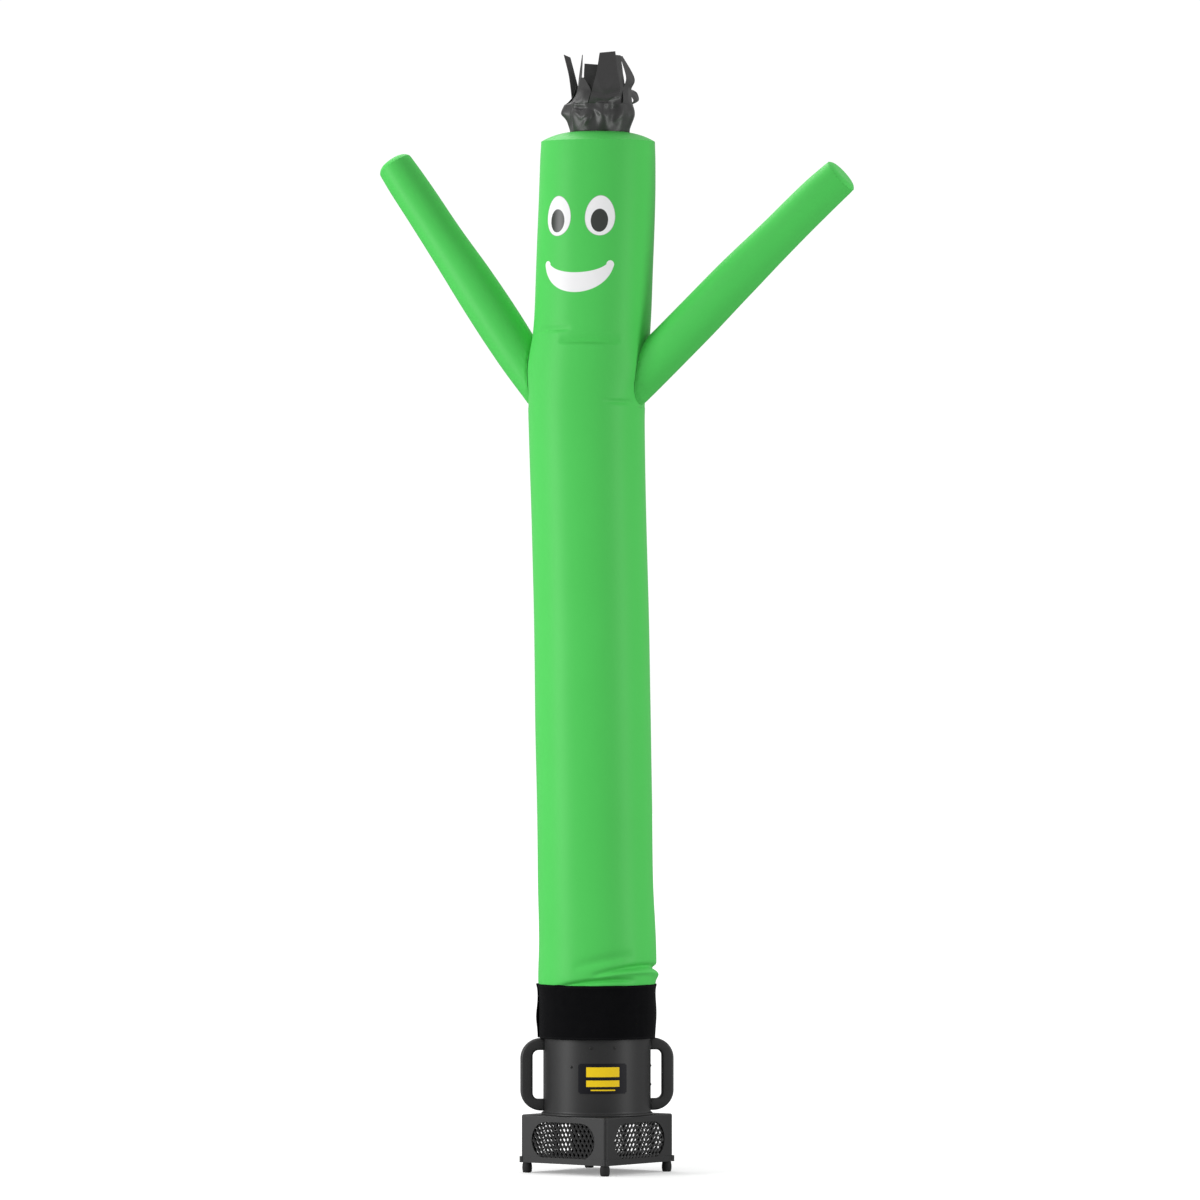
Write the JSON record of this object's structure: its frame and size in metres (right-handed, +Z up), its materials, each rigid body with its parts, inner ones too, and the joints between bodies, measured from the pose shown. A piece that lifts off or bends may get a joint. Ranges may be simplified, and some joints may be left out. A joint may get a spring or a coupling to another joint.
{
  "type": "inflatable air dancer on its fan blower",
  "caption": "Green inflatable tube figure with raised arms, a smiling face and black hair strips, strapped by a wrap collar to a round fan blower.",
  "frame": {"origin": "middle of the whole part's bounding box in X and Y, at the bottom of the feet", "axes": "+Z up along the figure; -Y out of the blower's label, with its two handles along X. The figure's face is turned 24 degrees from -Y towards -X."},
  "size_m": [1.2166, 0.602, 2.9916],
  "materials": {
    "green_cloth": "thin coated ripstop nylon, soft sheen",
    "hair_nylon": "thin crumpled nylon, some sheen",
    "collar_cloth": "matt felted wrap strap",
    "blower_paint": "satin black",
    "grille_steel": "dark coated expanded steel",
    "handle_plastic": "fine texture",
    "foot_rubber": "matt",
    "label_film": "printed film"
  },
  "bodies": {
    "root": {"torso_tube": "green_cloth", "chest_panel": "green_cloth", "head_tube": "green_cloth", "crown_disc": "green_cloth", "left_arm": "green_cloth", "left_arm_end": "green_cloth", "right_arm": "green_cloth", "right_arm_end": "green_cloth", "hair_tuft": "hair_nylon", "collar_band": "collar_cloth", "blower_duct": "blower_paint", "base_box": "blower_paint", "base_pan": "blower_paint", "grille_1": "grille_steel", "grille_2": "grille_steel", "grille_3": "grille_steel", "grille_4": "grille_steel", "handle_left": "handle_plastic", "handle_right": "handle_plastic", "cable_gland": "handle_plastic", "foot_1": "foot_rubber", "foot_2": "foot_rubber", "foot_3": "foot_rubber", "foot_4": "foot_rubber", "label_plate": "label_film"}
  },
  "joints": []
}
